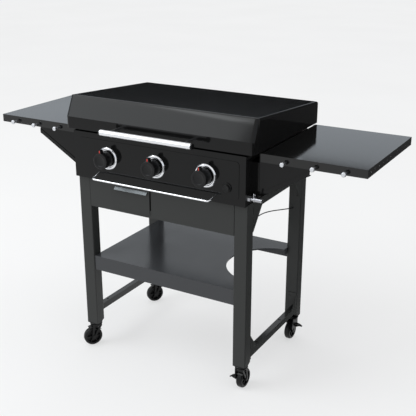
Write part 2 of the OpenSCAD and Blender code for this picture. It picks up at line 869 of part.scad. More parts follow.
// Folded panel with a pressed field round the knobs
module control_panel() {
    x = panel_x;
    t = panel_t;
    face = panel_face;
    back = face + panel_return;
    grow = t;
    color(enamel) difference() {
        union() {
            slab_y([face, face + t]) difference() {
                translate([-x, panel_z0]) square([2 * x, panel_h]);
                round_rect(field[0], field[1], field_r);
            }
            slab_y([panel_y, face]) difference() {
                round_rect(field[0] + [-grow, grow], field[1] + [-grow, grow], field_r + grow);
                round_rect(field[0], field[1], field_r);
            }
            slab_y([panel_y, panel_y + t])
                round_rect(field[0] + [-grow, grow], field[1] + [-grow, grow], field_r + grow);
            both_sides() block([x - t, x], [face, back], [panel_z0, panel_z1]);
            block([-x, x], [face, back + 20], [panel_z1 - t, panel_z1]);
            block([-x, x], [face, -cart_d / 2], [panel_z0, panel_z0 + t]);
        }
        for (kx = knob_xs) bar_along_y(kx, [panel_y - cut, panel_y + t + cut], knob_z, knob_hole_r);
        bar_along_y(button_x, [panel_y - cut, panel_y + t + cut], button_z, igniter_r + 0.1);
        bar_along_x([x - t - cut, x + cut], pipe_y, inlet_z, pipe_r + slide_gap);
    }
}

// Gas pipe behind the panel, with an offset down to the inlet
module manifold() {
    left = -knob_pitch - pipe_end;
    end_x = panel_x + 2;
    drop = pipe_z - inlet_z;
    fall = drop - 2 * pipe_bend;
    turn_x = knob_pitch + pipe_turn;
    run = turn_x - pipe_bend - left;
    tail = end_x - turn_x - pipe_bend;
    path = [[run], [pipe_bend, -90], [fall], [pipe_bend, 90], [tail]];
    color(steel) translate([left, pipe_y, pipe_z]) rotate([90, 0, 0]) difference() {
        bent_bar(path, pipe_r);
        translate([3, 0, 0]) bent_bar([[run - 3], path[1], path[2], path[3], [tail + cut]], pipe_r - pipe_t);
    }
}

// Valve bodies saddled on the pipe, each with a jet into its burner
module valve_bodies() {
    color(brass) for (kx = knob_xs) difference() {
        union() {
            bar_along_y(kx, [valve_y0, valve_y1], knob_z, valve_r);
            bar_along_y(kx, [valve_y0 - 3, valve_y0], knob_z, 8);
            bar_along_y(kx, [valve_y1, valve_y1 + 16], knob_z, nozzle_r);
            block([kx - 9, kx + 9], [pipe_y - 9, pipe_y + 9], [pipe_z + 2, knob_z]);
        }
        bar_along_x([kx - 20, kx + 20], pipe_y, pipe_z, pipe_r + run_gap);
        bar_along_y(kx, [valve_y0 - cut, valve_y1 - 3], knob_z, plug_r + run_gap);
        bar_along_y(kx, [valve_y0 - 3 - cut, valve_y0 + cut], knob_z, stem_r + run_gap);
        bar_along_y(kx, [valve_y1 - 3 - cut, valve_y1 + 16 + cut], knob_z, 1);
    }
}

module knob_bezels() {
    r0 = bezel_in_r;
    r1 = bezel_r;
    color(bright) for (kx = knob_xs) turned(kx, panel_y, knob_z) polygon(rounded([
        [r0 - 2, 0], [r1, 0], [r1, 2], [r1 - 3.5, bezel_h], [r0 + 2, bezel_h], [r0, 2.5], [r0 - 2, 2.5]
    ], [0, 0, 1.5, 2.5, 1.5, 0, 0]));
}

// Knob with a dished face, a rounded rim and a pointer tab at the top
module knob(kx) {
    rim = knob_r * 0.68;
    front = knob_reach;
    back = knob_back;
    color(dark_plastic) difference() {
        union() {
            turned(kx, panel_y, knob_z) polygon(concat(
                rounded([[0, back], [knob_r - 1, back], [knob_r - 0.4, front], [rim, front]], [0, 1, 3, 0]),
                [for (k = [0:8]) [rim * cos(k * 11.25), front - 4 * sin(k * 11.25)]]
            ));
            translate([kx, panel_y, knob_z]) rotate([90, 0, 0]) translate([0, 0, front - 16])
                linear_extrude(15.5) polygon(rounded([
                    [-8, knob_r - 4], [8, knob_r - 4], [3.6, knob_r + 11], [-3.6, knob_r + 11]
                ], [0, 0, 1.5, 1.5]));
        }
        bar_along_y(kx, [panel_y - back - 16, panel_y - back + cut], knob_z, stem_r + run_gap);
    }
}

module valve_stem(kx) {
    y = [panel_y - knob_back - 16, valve_y0 + 8];
    color(steel) difference() {
        bar_along_y(kx, y, knob_z, stem_r);
        block([kx - stem_r, kx + stem_r], [valve_y0 + 1, y[1] + cut],
              [knob_z + stem_r - 1, knob_z + stem_r + cut]);
    }
}

// Turning plug of a valve: it takes the flat of the stem and has a cross port for the gas
module valve_plug(kx) {
    y = [valve_y0 + slide_gap, valve_y1 - 3 - slide_gap];
    color(brass) difference() {
        bar_along_y(kx, y, knob_z, plug_r);
        difference() {
            bar_along_y(kx, [y[0] - cut, valve_y0 + 8 + knob_travel + 0.5], knob_z, stem_r + run_gap);
            block([kx - plug_r, kx + plug_r], [valve_y0 + knob_travel + 1.5, y[1]],
                [knob_z + stem_r - 1 + run_gap, knob_z + plug_r]);
        }
        bar_along_y(kx, [y[1] - 6, y[1] + cut], knob_z, 2);
        bar_along_z(kx, y[1] - 4, [knob_z - plug_r - cut, knob_z], 1.5);
    }
}

module igniter_body() {
    color(dark_plastic) turned(button_x, panel_y, button_z) polygon([
        [igniter_r, -34], [igniter_r, 0], [igniter_rim_r, 0], [igniter_rim_r, 3], [igniter_rim_r - 1.5, 5],
        [button_r + slide_gap, 5], [button_r + slide_gap, -16], [5 + slide_gap, -16],
        [5 + slide_gap, -28], [4, -28], [4, -34]
    ]);
}
module igniter_button() {
    color(dark_plastic) turned(button_x, panel_y, button_z) polygon(rounded([
        [0, -16 + button_travel - 5], [5, -16 + button_travel - 5], [5, -8], [button_r, -8],
        [button_r, button_reach], [0, button_reach - 1.5]
    ], [0, 0, 0, 0, 1.5, 0]));
}

// Inlet outside the panel: nut, neck, flare end and an eyelet that ties the hose
module gas_inlet() {
    x = panel_x;
    y = pipe_y;
    z = inlet_z;
    end = x + inlet_reach;
    color(steel) difference() {
        union() {
            translate([x, y, z]) rotate([0, 90, 0]) cylinder(r = 10.5, h = 12, $fn = 6);
            bar_along_x([x + 12, end], y, z, 5);
            bar_along_x([end - inlet_tip, end], y, z, inlet_r);
            bar_along_x([end - inlet_tip - 4, end - inlet_tip], y, z, inlet_r + 1.1);
            slab_x([end - inlet_tip - 4, end - inlet_tip - 2]) difference() {
                union() {
                    translate([y - 7, z]) square([14, 16]);
                    translate([y, z + 16]) circle(r = 7);
                }
                translate([y, z + 16]) circle(r = 3);
            }
        }
        bar_along_x([x - cut, x + 2], y, z, pipe_r + run_gap);
        bar_along_x([x - cut, end + cut], y, z, 3);
    }
}

// Wire rail below the knobs: one bent bar that slopes down and forward from its roots
module front_rail() {
    tilt = atan2(rail_drop, rail_reach);
    arm = norm([rail_drop, rail_reach]) - rail_bend;
    over = 4;
    straight = rail_w - 2 * rail_bend;
    color(bright) difference() {
        translate([-rail_w / 2, panel_y, rail_root_z]) rotate([tilt, 0, 0])
        translate([0, over, 0]) rotate([0, 0, -90])
            bent_bar([[arm + over], [rail_bend, 90], [straight], [rail_bend, 90], [arm + over]], rail_r);
        block([-rail_w, rail_w], [panel_y, panel_y + 3 * over], [panel_z0, panel_z1]);
    }
}

// Side shelves

module shelf_top(side) {
    x = [side_x0, side_x1];
    y = [side_y0, side_y1];
    t = sheet_t;
    low = side_z - side_apron;
    mid = (y[0] + y[1]) / 2;
    first = mid - edge_hole_pitch * (edge_holes - 1) / 2;
    color(enamel) hand(side) difference() {
        union() {
            block(x, y, [side_z - t, side_z]);
            block(x, [y[0], y[0] + t], [low, side_z]);
            block(x, [y[1] - t, y[1]], [low, side_z]);
            block([x[1] - t, x[1]], y, [low, side_z]);
            block([x[1] - 12, x[1]], y, [low, low + t]);
            block([x[0], x[0] + t], [y[0] + 22, y[1] - 22], [low, side_z]);
        }
        for (i = [0:edge_holes - 1])
            bar_along_x([x[1] - t - cut, x[1] + cut], first + i * edge_hole_pitch, low + 14, edge_hole_r);
    }
}

// Outline of a shelf bracket's slanted edge, moved up by some distance
function bracket_edge(up) = [[fire_x, bracket_low + up], [fire_x + bracket_out - 10, bracket_mid + up],
    [fire_x + bracket_out, bracket_end + up]];
module bracket_plate() {
    slope = norm([bracket_out - 10, bracket_mid - bracket_low]) / (bracket_out - 10);
    rise = bracket_strip * slope;
    top = side_z - sheet_t;
    y = side_y0 + sheet_t;
    edge = bracket_edge(0);
    slab_y([y, y + bracket_t])
        polygon(concat(bracket_edge(rise - 3), [[fire_x + bracket_out, top], [fire_x, top]]));
    slab_y([y - bracket_t, y]) polygon([
        edge[0], edge[1], edge[2], edge[2] + [0, rise], edge[1] + [0, rise], edge[0] + [0, rise]
    ]);
    slab_y([y - bracket_t, y + 12]) polygon([
        edge[0], edge[1], edge[2], edge[2] + [0, bracket_t],
        edge[1] + [0, bracket_t * slope], edge[0] + [0, bracket_t * slope]
    ]);
    block([fire_x, fire_x + bracket_t], [y, y + 26], [bracket_low + 2, fire_z1]);
    block([fire_x, fire_x + bracket_out], [y, y + 14], [top - bracket_t, top]);
}
module shelf_brackets(side) {
    color(enamel) hand(side) {
        bracket_plate();
        translate([0, side_y0 + side_y1, 0]) mirror([0, 1, 0]) bracket_plate();
    }
}

module shelf_hooks() {
    color(bright) both_sides() for (i = [0:2])
        turned(hook_x + i * hook_pitch, side_y0, hook_z) polygon(rounded([
        [0, 0], [3.5, 0], [3.5, hook_reach - 8],
        [hook_cap_r, hook_reach - 8], [hook_cap_r, hook_reach], [0, hook_reach]
    ], [0, 0, 0.5, 2, 3, 0]));
}

// Grease drawer

module drawer_runners() {
    y = [-cart_d / 2 + sheet_t, tray_y0 + tray_d + 12];
    z = tray_z[1] - slide_gap - drawer_t;
    t = drawer_t;
    color(steel) for (s = [0, 1]) {
        x = runner_x[s];
        out = s == 0 ? -1 : 1;
        wall = [min(x, x + out * t), max(x, x + out * t)];
        ledge = [min(x, x - out * 6), max(x, x - out * 6)];
        foot = [min(x, x + out * 12), max(x, x + out * 12)];
        block(wall, y, [z - t, deck_z - sheet_t]);
        block(wall, [y[0] + rail_lip, y[1]], [z - t, deck_z]);
        block(ledge, y, [z - t, z]);
        block(foot, [y[0] + rail_lip, y[1]], [deck_z - t, deck_z]);
        block([min(wall[0], ledge[0]), max(wall[1], ledge[1])], [y[1] - t, y[1]], [z - t, z + 14]);
    }
}
module drawer_tray() {
    x = tray_x;
    y = [tray_y0, tray_y0 + tray_d];
    z = tray_z;
    t = drawer_t;
    color(steel) {
        difference() {
            block(x, y, z);
            block([x[0] + t, x[1] - t], [y[0] + t, y[1] - t], [z[0] + t, z[1] + cut]);
        }
        for (s = [0, 1]) {
            out = s == 0 ? -1 : 1;
            edge = x[s] + out * tray_rim;
            block([min(edge, x[s]), max(edge, x[s])], [y[0] + 4, y[1]], [z[1] - t, z[1]]);
        }
    }
}
module drawer_front() {
    x = [drawer_x0, drawer_x0 + drawer_w];
    y = tray_y0;
    t = 1.5;
    top = drawer_z0 + drawer_h;
    lip = 10;
    color(cart_grey) {
        block(x, [y - t, y], [drawer_z0, top]);
        for (e = [x[0], x[1] - t]) block([e, e + t], [y - t, y + drawer_fold], [drawer_z0, top]);
    }
    color(steel) slab_x([x[0] - 1, x[1] - 8]) polygon([
        [y - t / 2, top - 8], [y - t / 2, top - 6], [y - t - 0.5, top - 6], [y - t - lip, top - 7 - lip],
        [y - t - lip, top - 9 - lip], [y - t - 2, top - 10]
    ]);
}

// Lid

lid_outline = [
    [lid_y0, lid_z], [lid_y1, lid_z], [lid_y1, crease_z - lid_fall],
    [crease_y, crease_z], [lid_y0, lid_z + lid_strip_h]
];
// Long bar whose one flat side lies on the line from a to b, with that side's edges rounded
module faced_bar(a, b, hx, r) {
    far = 2 * fire_x;
    along = unit(b - a);
    translate([0, a[0], a[1]]) rotate([atan2(along[1], along[0]) - 90, 0, 0])
        translate([0, 0, -far]) linear_extrude(2 * far) round_rect([-hx, hx], [0, far], r);
}
// The lid as a solid, its walls moved in by t and its underside down by drop
module lid_form(t, drop) {
    low = [[0, -drop], [0, -drop], [0, 0], [0, 0], [0, 0]];
    pts = inset(lid_outline + low, t);
    intersection() {
        slab_x([-lid_x + t, lid_x - t])
            polygon(rounded(pts, [0, 0, lid_edge_r - t, crease_rs[1], crease_rs[0]]));
        faced_bar(pts[0], pts[4], lid_x - t, lid_corner_r - t);
        faced_bar(pts[4], pts[3], lid_x - t, lid_corner_r - t);
        faced_bar(pts[3], pts[2], lid_x - t, lid_edge_r - t);
    }
}
module lid_shell() {
    color(enamel) difference() {
        lid_form(0, 0);
        lid_form(lid_t, 4 * lid_t);
    }
}

module hinge_brackets() {
    y = fire_y1;
    color(enamel) both_sides() {
        block([hinge_x - 20, hinge_x + 20], [y, y + 2], [fire_z1 - 40, fire_z1 - 3]);
        for (s = [-1, 1]) {
            near = hinge_x + s * (hinge_leaf_w / 2 + slide_gap);
            far = near + s * hinge_ear_t;
            difference() {
                slab_x([min(near, far), max(near, far)]) {
                    polygon([
                        [y, fire_z1 - 38],
                        [hinge_y + hinge_eye_r, hinge_z - 14], [hinge_y + hinge_eye_r, hinge_z],
                        [hinge_y - hinge_eye_r, hinge_z], [hinge_y - hinge_eye_r, fire_z1 + 1],
                        [y, fire_z1 - 5]
                    ]);
                    translate([hinge_y, hinge_z]) circle(r = hinge_eye_r);
                }
                bar_along_x([min(near, far) - cut, max(near, far) + cut],
                            hinge_y, hinge_z, hinge_pin_r + run_gap);
            }
        }
    }
}
module lid_hinge_leaves() {
    half = hinge_leaf_w / 2;
    wall = lid_y1 - lid_t;
    color(steel) both_sides() {
        bar_along_x([hinge_x - half, hinge_x + half], hinge_y, hinge_z, hinge_eye_r);
        bar_along_x([hinge_x - half - 6, hinge_x + half + 6], hinge_y, hinge_z, hinge_pin_r);
        block([hinge_x - half, hinge_x + half], [hinge_y, wall], [hinge_z - 3, hinge_z + hinge_eye_r]);
        block([hinge_x - half, hinge_x + half], [wall - 2, wall], [hinge_z - 3, lid_z + hinge_leaf_h]);
    }
}

module handle_bar() {
    x = bar_w / 2 - cap_w;
    color(bright) difference() {
        bar_along_x([-x, x], bar_y, bar_z, bar_r);
        bar_along_x([-x - cut, x + cut], bar_y, bar_z, bar_r - bar_t);
    }
}
module handle_posts() {
    color(bright) both_sides() difference() {
        bar_along_y(post_pitch / 2, [bar_y, lid_y0], post_z, post_r);
        bar_along_x([0, bar_w], bar_y, bar_z, bar_r + 0.02);
    }
}
module handle_caps() {
    x = bar_w / 2;
    color(dark_plastic) both_sides() {
        translate([x - cap_w, bar_y, bar_z]) rotate([0, 90, 0]) rotate_extrude() polygon(rounded([
            [0, 0], [bar_r, 0], [bar_r, cap_w], [0, cap_w]
        ], [0, 0, 2, 0]));
        bar_along_x([x - cap_w - 8, x - cap_w], bar_y, bar_z, bar_r - bar_t - 0.1);
    }
}

// The whole station, moved so that its middle lies over the origin
module at_cart() {
    translate([0, cart_y, 0]) children();
}

at_cart() {
    leg_front(-1);  // leg_front_left
    leg_front(1);  // leg_front_right
    leg_rear(-1);  // leg_rear_left
    leg_rear(1);  // leg_rear_right
    front_apron();
    rear_apron();
    side_rail(-1);  // side_rail_left
    side_rail(1);  // side_rail_right
    lower_bar(-1);  // lower_bar_left
    lower_bar(1);  // lower_bar_right
    lower_shelf();
    tank_wire();
    caster_sockets();
    firebox();
    griddle_plate();
    grease_chute();
    burners();
    electrodes();
    valve_box();
    control_panel();
    manifold();
    valve_bodies();
    knob_bezels();
    igniter_body();
    gas_inlet();
    front_rail();
    shelf_top(-1);  // shelf_top_left
    shelf_top(1);  // shelf_top_right
    shelf_brackets(-1);  // shelf_brackets_left
    shelf_brackets(1);  // shelf_brackets_right
    shelf_hooks();
    drawer_runners();
    hinge_brackets();
    lid_shell();
    lid_hinge_leaves();
    handle_bar();
    handle_posts();
    handle_caps();
    knob(knob_xs[0]);  // knob_left
    knob(knob_xs[1]);  // knob_middle
    knob(knob_xs[2]);  // knob_right
    valve_stem(knob_xs[0]);  // valve_stem_left
    valve_stem(knob_xs[1]);  // valve_stem_middle
    valve_stem(knob_xs[2]);  // valve_stem_right
    valve_plug(knob_xs[0]);  // valve_plug_left
    valve_plug(knob_xs[1]);  // valve_plug_middle
    valve_plug(knob_xs[2]);  // valve_plug_right
    igniter_button();
    drawer_tray();
    drawer_front();
    caster_yoke(-1, -1, false);  // caster_yoke_front_left
    caster_yoke(1, -1, true);  // caster_yoke_front_right
    caster_yoke(-1, 1, false);  // caster_yoke_rear_left
    caster_yoke(1, 1, true);  // caster_yoke_rear_right
    caster_wheel(-1, -1);  // caster_wheel_front_left
    caster_wheel(1, -1);  // caster_wheel_front_right
    caster_wheel(-1, 1);  // caster_wheel_rear_left
    caster_wheel(1, 1);  // caster_wheel_rear_right
    brake_lever(1, -1);  // brake_lever_front
    brake_lever(1, 1);  // brake_lever_rear
}
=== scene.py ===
"""Outdoor gas griddle station: finishes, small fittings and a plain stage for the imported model."""
import json
import math

import bmesh
import bpy
from mathutils import Matrix, Vector


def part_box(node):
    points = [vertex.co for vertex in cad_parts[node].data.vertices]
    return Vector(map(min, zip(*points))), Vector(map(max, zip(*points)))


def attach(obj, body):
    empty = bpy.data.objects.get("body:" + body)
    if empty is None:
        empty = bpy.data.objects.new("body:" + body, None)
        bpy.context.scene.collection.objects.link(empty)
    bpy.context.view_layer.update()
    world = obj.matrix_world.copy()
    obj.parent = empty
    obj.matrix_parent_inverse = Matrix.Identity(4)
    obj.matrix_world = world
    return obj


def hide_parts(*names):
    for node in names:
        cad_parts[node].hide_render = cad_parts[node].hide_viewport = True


bl_info = {
    "name": "Griddle Station",
    "version": (1, 0, 0),
    "blender": (4, 5, 0),
    "location": "3D View > Sidebar > Griddle",
    "description": "Finishes and small fittings of an outdoor gas griddle station",
    "category": "Object",
}

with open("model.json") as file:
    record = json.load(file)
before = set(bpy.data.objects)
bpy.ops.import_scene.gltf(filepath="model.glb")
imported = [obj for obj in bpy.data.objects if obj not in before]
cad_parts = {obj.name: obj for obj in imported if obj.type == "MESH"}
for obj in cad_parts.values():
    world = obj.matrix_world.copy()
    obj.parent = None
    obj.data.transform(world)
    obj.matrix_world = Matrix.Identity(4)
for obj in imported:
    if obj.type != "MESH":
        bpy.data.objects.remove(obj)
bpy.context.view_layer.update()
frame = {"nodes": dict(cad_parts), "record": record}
NODES = frame["nodes"]
SLOTS = {part["node"]: part["material_slot"] for part in frame["record"]["subparts"]}
JOINTS = {joint["name"]: joint for joint in frame["record"]["behaviour"]["joints"]}
MM = 0.001

# Sizes and places, in metres unless a comment says otherwise

# Lid: how far its slope reaches from front to back, and the slope's own length per metre of that
LID_SLOPE_DEPTH = 0.035
LID_SLOPE_STRETCH = 2.34
# Rounding of the lid's crease on the top and on the slope: its width, and its turn in radians
CREASE_ON_TOP = (0.012, 0.6)
CREASE_ON_SLOPE = (0.026, 0.08)

# Painted marks of the knobs: how far the pointer's face lies behind the knob's front, and the mark's top
# below the pointer's; how far the mark stands out, how deep it reaches in, and its bevel
MARK_BEHIND_FRONT, MARK_BELOW_TOP = 0.0005, 0.0011
MARK_PROUD, MARK_DEEP, MARK_EDGE = 0.0003, 0.001, 0.0002

# Lower shelf: its sheet, the depth of its side lips and the inward fold below its front lip
SHELF_SHEET, SHELF_SIDE_LIP, SHELF_FRONT_FOLD = 0.0015, 0.025, 0.012
# Round notch in the shelf's right side: its centre, radius, folded edge and steps
NOTCH_MIDDLE = (0.329, 0.051)
NOTCH_RADIUS = 0.169
NOTCH_FOLD = 0.006
NOTCH_STEPS = 40

# Caster forks: the head's top above the floor and its depth, and how far the arms reach up into it
FORK_TOP, FORK_HEAD, FORK_LAP = 0.0992, 0.009, 0.001
FORK_UNDER = FORK_TOP - FORK_HEAD
# Half the gap between the arms, and the arms' thickness
FORK_INSIDE, FORK_SHEET = 0.0128, 0.003
FORK_OUTSIDE = FORK_INSIDE + FORK_SHEET
AXLE_RADIUS = 0.004
# Curved cover: how far its inside and its outside stand off the wheel, and in degrees its start and pitch
COVER_INSIDE, COVER_OUTSIDE = 0.003, 0.0055
COVER_START, COVER_PITCH, COVER_STEPS = 67, 7.3, 10
# Ears of the brake pedal's pin: from where to where each stands along x from the swivel, and the radius
# of the pin's seat in them, with the degrees between its points
EAR_SPANS = ((-0.0202, -0.0177), (-0.0023, 0.0002))
PIN_SEAT, PIN_SEAT_STEP = 0.0023, 30
# Steps round a turned solid
TURN_STEPS = 40

# Drawer grip's sloping face, from its root below the panel down to its free edge
GRIP_ROOT_BEHIND, GRIP_ROOT_BELOW, GRIP_EDGE_BELOW = 0.0095, 0.0062, 0.0172
# Strip on it: its thickness, and its insets from the left end, the right end, the root and the edge
STRIP = 0.0004
STRIP_LEFT, STRIP_RIGHT, STRIP_ROOT, STRIP_EDGE = 0.0005, 0.0075, 0.001, 0.0004

# Stage: the share of the floor's tone that is its own glow
FLOOR_GLOW = 0.6
# Dome: the horizon's tone, then between which two heights of a unit direction each next tone takes over
HORIZON_TONE = 0xF1F1F1
DOME_BANDS = ((0.08, 0.16, 0xE6EEF6), (0.3, 0.6, 0xFFFFFF))
# Soft lamps at the front left, one above the other: place, width and height
SOFTBOXES = {"key_softbox": ((-2.75, -3.0, 3.0), 2.4, 1.8), "top_softbox": ((-2.7, -2.3, 4.35), 3.2, 1.5)}
LAMP_COLOUR = (0.94, 0.98, 1.0)
LAMP_AIM = Vector((0.0, 0.0, 0.8))
# Height at which what stands on the floor starts, just clear of it
GROUND = 0.002
# Flags, seen only in reflections, where they paint dark reflections: where each one's two ends stand in plan,
# and its lower and upper edge
FLAGS = (((0.66, 1.15), (2.6, 0.5), GROUND, 1.7), ((0.765, -0.7), (0.765, 3.0), GROUND, 0.86),
         ((0.42, -0.33), (0.42, 1.2), GROUND, 0.62), ((-0.6, 2.5), (1.6, 2.5), 1.75, 3.0))
# Curved wall behind, also seen only in reflections, where it paints a dark reflection: its distance, and at
# each bend the bearing in degrees from +X and the height
WALL_DISTANCE = 6.0
WALL_BENDS = ((20, 4.2), (40, 4.2), (60, 4.2), (84, 4.2), (92, 2.0), (106, 1.95), (120, 1.9), (140, 1.9),
              (160, 1.9), (180, 1.9))
# Camera at the photograph's viewpoint: lens and sensor in millimetres, tilt and turn in degrees
CAMERA_PLACE = (1.469, -2.388, 1.607)
CAMERA_LENS, CAMERA_SENSOR = 66.97, 36.0
CAMERA_TILT, CAMERA_TURN = 70.06, 30.125

# About how many bands a wave texture of scale 1 draws in one unit
WAVE_BANDS = 3.14

# Parts whose finish differs from the rest of their material slot
OWN_FINISH = {"lid_shell": "lid_enamel", "shelf_top_left": "shelf_enamel", "shelf_top_right": "shelf_enamel",
              # The drawer's tray and runners take the black enamel so that the gaps round the drawer show
              # dark: painted shade in the gaps
              "drawer_tray": "black_enamel", "drawer_runners": "black_enamel", "shelf_hooks": "hook_zinc",
              "lower_bar_left": "bar_paint", "lower_bar_right": "bar_paint", "igniter_button": "caster_black"}

# Materials by name, made by the first operator
FINISH = {}


# Small tools

def linear(code):
    """RGBA in linear light from an sRGB hex value such as 0x1A1A1A."""
    rgb = [((code >> shift) & 255) / 255 for shift in (16, 8, 0)]
    return [c / 12.92 if c <= 0.04045 else ((c + 0.055) / 1.055) ** 2.4 for c in rgb] + [1.0]


def toned(colour, factor):
    """The same RGBA colour made darker or paler."""
    return [c * factor for c in colour[:3]] + [1.0]


def per_mm(size):
    """Texture scale that makes one pattern cell this many millimetres on a mesh in metres."""
    return 1.0 / (size * MM)


def add(tree, kind, inputs=None, **settings):
    """Adds a node with its settings; an input is a value, or a socket to link from."""
    node = tree.nodes.new(kind)
    for key, value in settings.items():
        setattr(node, key, value)
    for key, value in (inputs or {}).items():
        if isinstance(value, bpy.types.NodeSocket):
            tree.links.new(value, node.inputs[key])
        else:
            node.inputs[key].default_value = value
    return node


def maths(tree, operation, a, b, **settings):
    """Result of one operation on two values or sockets."""
    return add(tree, "ShaderNodeMath", {0: a, 1: b}, operation=operation, **settings).outputs["Value"]


def noise(tree, where, cell_mm, detail):
    """Noise with cells of this many millimetres."""
    inputs = {"Vector": where, "Scale": per_mm(cell_mm), "Detail": detail}
    return add(tree, "ShaderNodeTexNoise", inputs).outputs["Fac"]


def spread(tree, value, low, high, start=0.3, end=0.7):
    """Value from low to high while the pattern goes from start to end, where most of a noise lies."""
    inputs = {"Value": value, "From Min": start, "From Max": end, "To Min": low, "To Max": high}
    return add(tree, "ShaderNodeMapRange", inputs).outputs["Result"]


def blend(tree, factor, first, second):
    """Colour between two colours."""
    inputs = {"Factor": factor, "A": first, "B": second}
    return add(tree, "ShaderNodeMix", inputs, data_type="RGBA").outputs["Result"]


def relief(tree, height, strength, distance, under=None):
    """Normal that follows a height, over another normal where one is given."""
    inputs = {"Height": height, "Strength": strength, "Distance": distance}
    if under is not None:
        inputs["Normal"] = under
    return add(tree, "ShaderNodeBump", inputs).outputs["Normal"]


def new_finish(name):
    """An empty material with its tree, its object coordinates and its output node."""
    mat = bpy.data.materials.new(name)
    mat.use_nodes = True
    tree = mat.node_tree
    tree.nodes.clear()
    out = add(tree, "ShaderNodeOutputMaterial")
    where = add(tree, "ShaderNodeTexCoord").outputs["Object"]
    return mat, tree, where, out


def coat(tree, out, inputs):
    """Gives a material its surface."""
    skin = add(tree, "ShaderNodeBsdfPrincipled", inputs)
    tree.links.new(skin.outputs["BSDF"], out.inputs["Surface"])


def show(node, mat):
    """Gives a carried-over part its material."""
    mesh = NODES[node].data
    mesh.materials.clear()
    mesh.materials.append(mat)


def slab(form, low, high):
    """Adds a box between two corners to a bmesh."""
    size = [b - a for a, b in zip(low, high)]
    middle = [(a + b) / 2 for a, b in zip(low, high)]
    place = Matrix.Translation(middle) @ Matrix.Diagonal((*size, 1.0))
    bmesh.ops.create_cube(form, size=1.0, matrix=place)


def prism(form, near, far):
    """Closes two like rings of vertices of a bmesh into a solid."""
    form.faces.new(near)
    form.faces.new(far)
    for i in range(len(near)):
        j = (i + 1) % len(near)
        form.faces.new((near[i], near[j], far[j], far[i]))


def cheek(form, outline, near, far, place):
    """Adds a plate to a bmesh: an outline in x and z, between two heights along y, at a place."""
    rings = [[form.verts.new(place @ Vector((x, y, z))) for x, z in outline] for y in (near, far)]
    prism(form, *rings)


def turned(form, profile, place):
    """Adds a turned solid to a bmesh, at a place: (radius, height) pairs that start and end on the axis."""
    around = [2 * math.pi * i / TURN_STEPS for i in range(TURN_STEPS)]
    rings = []
    for radius, height in profile:
        if radius == 0:
            rings.append([form.verts.new(place @ Vector((0, 0, height)))] * TURN_STEPS)
        else:
            points = [Vector((radius * math.cos(a), radius * math.sin(a), height)) for a in around]
            rings.append([form.verts.new(place @ point) for point in points])
    for low, high in zip(rings, rings[1:]):
        for i in range(TURN_STEPS):
            j = (i + 1) % TURN_STEPS
            form.faces.new(list(dict.fromkeys((low[i], low[j], high[j], high[i]))))


def mesh_object(name, form, mats):
    """Turns a bmesh into an object of the scene with these materials."""
    mesh = bpy.data.meshes.new(name)
    form.to_mesh(mesh)
    form.free()
    for mat in mats:
        mesh.materials.append(mat)
    piece = bpy.data.objects.new(name, mesh)
    bpy.context.scene.collection.objects.link(piece)
    return piece


def mesh_piece(name, form, mat, body):
    """Finishes a bmesh as a piece of one body."""
    bmesh.ops.remove_doubles(form, verts=form.verts, dist=1e-6)
    bmesh.ops.recalc_face_normals(form, faces=form.faces)
    piece = mesh_object(name, form, [mat])
    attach(piece, body)
    return piece


# Finishes

def soft_crease(tree, where, crease_y):
    """Height in metres that rounds the lid's crease: it falls towards the crease from either side."""
    y = add(tree, "ShaderNodeSeparateXYZ", {"Vector": where}).outputs["Y"]
    off = maths(tree, "SUBTRACT", y, crease_y)
    sides = []
    for way, width, turn in ((1.0, *CREASE_ON_TOP), (-LID_SLOPE_STRETCH, *CREASE_ON_SLOPE)):
        # Distance from the crease along this face; the other face has a negative one and is left alone
        along = maths(tree, "MULTIPLY", off, way)
        near = maths(tree, "SUBTRACT", width, along, use_clamp=True)
        this = maths(tree, "GREATER_THAN", along, 0.0)
        square = maths(tree, "MULTIPLY", near, near)
        fall = maths(tree, "MULTIPLY", square, -turn / (2 * width))
        sides.append(maths(tree, "MULTIPLY", fall, this))
    return maths(tree, "ADD", *sides)


def porcelain_enamel(name, colour, sheen, crease_y=None):
    """Black porcelain enamel, fired on sheet steel: deep gloss with a faint orange peel."""
    mat, tree, where, out = new_finish(name)
    # Orange peel of about 6 mm, and fine specks of 0.8 mm in the glass
    peel = noise(tree, where, cell_mm=6, detail=1.0)
    specks = noise(tree, where, cell_mm=0.8, detail=2.0)
    normal = relief(tree, peel, strength=0.03, distance=0.0002)
    if crease_y is not None:
        fall = soft_crease(tree, where, crease_y)
        normal = relief(tree, fall, strength=1.0, distance=1.0, under=normal)
    coat(tree, out, {"Base Color": blend(tree, specks, list(colour), toned(colour, 1.7)),
                     "Roughness": spread(tree, specks, 0.08, 0.11), "Normal": normal,
                     "IOR": 1.5, "Specular IOR Level": sheen})
    return mat


def powder_coat(name, colour, rough):
    """Powder coat on steel: even satin with the fine grain of fused powder."""
    mat, tree, where, out = new_finish(name)
    # Powder grain of about 1.2 mm, drawn coarse enough to show, over a slow drift in film thickness
    grain = noise(tree, where, cell_mm=1.2, detail=3.0)
    drift = noise(tree, where, cell_mm=90, detail=2.0)
    coat(tree, out, {"Base Color": blend(tree, grain, toned(colour, 0.88), toned(colour, 1.12)),
                     "Roughness": spread(tree, drift, *rough),
                     "Normal": relief(tree, grain, strength=0.12, distance=0.0003),
                     "IOR": 1.5, "Specular IOR Level": 0.25})
    return mat


def chrome_plate():
    """Chromium plated steel: mirror bright, a little uneven in its gloss."""
    mat, tree, where, out = new_finish("chromium_plate")
    marks = noise(tree, where, cell_mm=2.5, detail=2.0)
    coat(tree, out, {"Base Color": linear(0xE6E7EA), "Metallic": 1.0,
                     "Roughness": spread(tree, marks, 0.12, 0.2)})
    return mat


